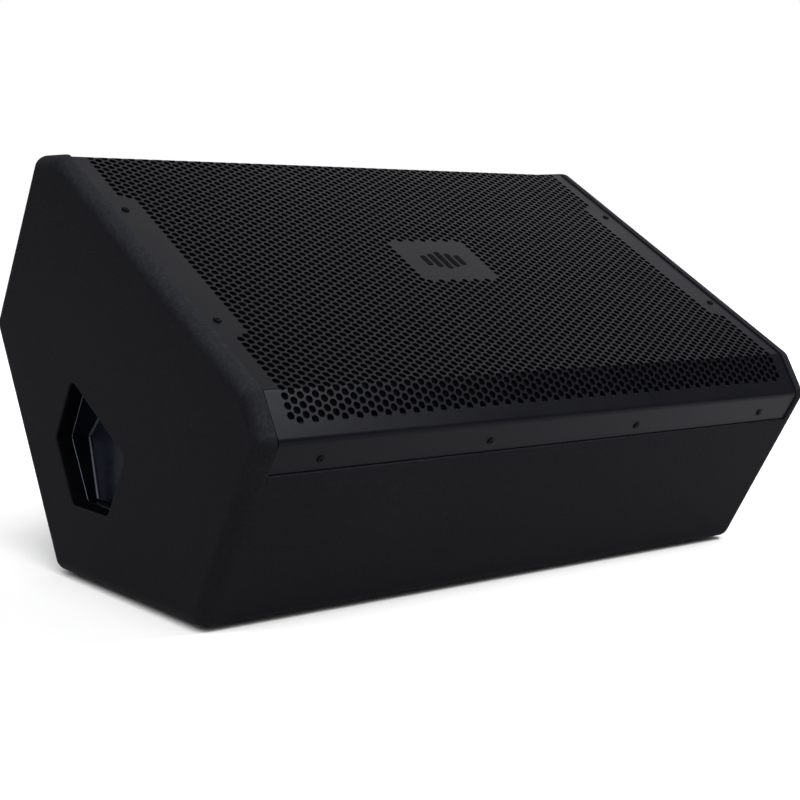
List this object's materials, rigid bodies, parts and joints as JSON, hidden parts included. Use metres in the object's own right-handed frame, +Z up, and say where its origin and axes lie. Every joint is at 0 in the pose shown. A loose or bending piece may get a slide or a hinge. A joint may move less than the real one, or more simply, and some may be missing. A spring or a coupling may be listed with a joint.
{
  "type": "stage monitor wedge",
  "caption": "Wedge-shaped floor loudspeaker cabinet with a folded perforated grille, recessed end handles, cone woofer, horn driver and rear input plate.",
  "frame": {"origin": "on the floor, under the middle of the bounding box, with the cabinet standing on its bottom feet", "axes": "+X across the cabinet towards its right end, +Y towards the rear, +Z up; the grille faces the front and up, 30 degrees from the horizontal"},
  "size_m": [0.6308, 0.4586, 0.3739],
  "materials": {
    "cabinet_paint": "textured black paint on plywood",
    "bare_wood": "unpainted plywood",
    "baffle_paint": "flat black paint",
    "grille_steel": "satin black powder coat",
    "grille_foam": "open-cell black foam",
    "black_screw": "black zinc",
    "steel_screw": "zinc plate",
    "badge_print": "dark print",
    "handle_plastic": "satin moulded plastic",
    "foot_rubber": "matt rubber",
    "basket_paint": "black stamped steel",
    "surround_cloth": "coated surround",
    "cone_paper": "pressed paper fibre",
    "spider_cloth": "resin-treated cloth",
    "copper_wire": "enamelled copper",
    "plate_steel": "zinc-plated steel",
    "ferrite": "ferrite ceramic",
    "horn_plastic": "moulded black plastic",
    "driver_metal": "drawn foil and cast shells",
    "driver_paint": "black paint",
    "port_plastic": "black tube",
    "plate_plastic": "moulded black plastic",
    "socket_plastic": "black nylon",
    "switch_white": "white acetal",
    "board_green": "printed board",
    "film_blue": "wrapped film capacitor",
    "ceramic_white": "ceramic body",
    "spacer_brass": "brass spacer",
    "lead_red": "insulated pair"
  },
  "bodies": {
    "cabinet": {"left_end_panel": "cabinet_paint", "right_end_panel": "cabinet_paint", "front_panel": "cabinet_paint", "rear_panel": "cabinet_paint", "bottom_panel": "cabinet_paint", "rear_lower_panel": "cabinet_paint", "baffle": "baffle_paint", "baffle_battens": "bare_wood", "grille_cleats": "baffle_paint", "inner_brace": "bare_wood", "left_handle_cup": "handle_plastic", "right_handle_cup": "handle_plastic", "handle_screws": "black_screw", "grille": "grille_steel", "grille_foam": "grille_foam", "grille_screws": "black_screw", "badge_mark": "badge_print", "bottom_feet": "foot_rubber", "rear_feet": "foot_rubber", "foot_screws": "steel_screw", "woofer_basket": "basket_paint", "woofer_gasket": "foot_rubber", "woofer_surround": "surround_cloth", "woofer_top_plate": "plate_steel", "woofer_magnet": "ferrite", "woofer_back_plate": "plate_steel", "woofer_terminals": "socket_plastic", "woofer_screws": "black_screw", "horn": "horn_plastic", "horn_screws": "black_screw", "driver_front_plate": "driver_paint", "driver_magnet": "ferrite", "driver_pole": "plate_steel", "driver_rear_plate": "plate_steel", "driver_ring": "spider_cloth", "driver_cap": "driver_paint", "driver_bolts": "steel_screw", "port_tubes": "port_plastic", "input_dish": "plate_plastic", "input_gasket": "foot_rubber", "speaker_sockets": "socket_plastic", "jack_socket": "socket_plastic", "switch_body": "socket_plastic", "input_screws": "black_screw", "crossover_board": "board_green", "crossover_coils": "copper_wire", "crossover_capacitors": "film_blue", "crossover_resistors": "ceramic_white", "board_standoffs": "spacer_brass", "board_screws": "steel_screw", "woofer_lead": "lead_red", "driver_lead": "lead_red", "input_lead": "lead_red"},
    "cone": {"woofer_cone": "cone_paper", "woofer_dust_cap": "cone_paper", "woofer_voice_coil": "copper_wire", "woofer_spider": "spider_cloth"},
    "diaphragm": {"driver_diaphragm": "driver_metal"},
    "lever": {"switch_lever": "switch_white"}
  },
  "joints": [
    {"name": "cone_travel", "type": "slide", "parent": "cabinet", "child": "cone", "axis": [0, -0.5, 0.866], "range_m": [-0.005, 0.005], "stiffness_N_per_m": 4000, "deforming": ["woofer_surround", "woofer_spider"]},
    {"name": "diaphragm_travel", "type": "slide", "parent": "cabinet", "child": "diaphragm", "axis": [0, -0.5, 0.866], "range_m": [-0.0003, 0.0003], "stiffness_N_per_m": 400},
    {"name": "mode_switch", "type": "slide", "parent": "cabinet", "child": "lever", "axis": [1, 0, 0], "range_m": [0, 0.004]}
  ]
}
